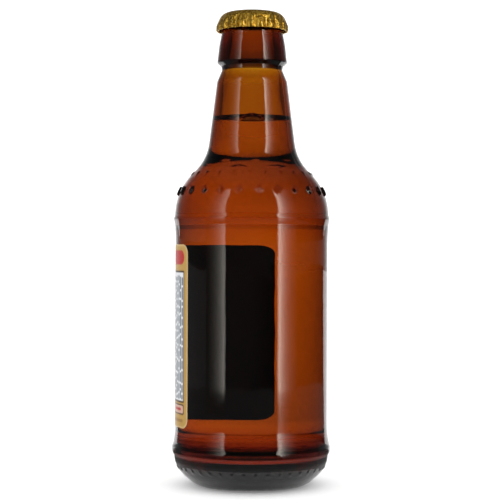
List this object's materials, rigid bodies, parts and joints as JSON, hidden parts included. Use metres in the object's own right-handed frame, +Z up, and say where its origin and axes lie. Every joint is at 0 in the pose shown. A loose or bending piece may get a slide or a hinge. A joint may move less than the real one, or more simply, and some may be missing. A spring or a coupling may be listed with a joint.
{
  "type": "returnable beer bottle",
  "caption": "Small returnable brown glass beer bottle, filled with beer up to the neck, shut with a gold crown cap and wearing one yellow wrap label.",
  "frame": {"origin": "centre of the underside of the base, on the surface the bottle stands on", "axes": "+Z up along the bottle's axis, from base to cap; -Y through the middle of the label; +X to the right of a viewer who faces the label"},
  "size_m": [0.0636, 0.0636, 0.1891],
  "materials": {
    "amber_glass": "clear brown glass, smooth and glossy",
    "beer": null,
    "gold_metal": "gold lacquered tinplate, glossy",
    "label_paper": "coated paper label, satin"
  },
  "bodies": {
    "root": {"bottle": "amber_glass", "beer": "beer", "crown_cap": "gold_metal", "label": "label_paper"}
  },
  "joints": []
}
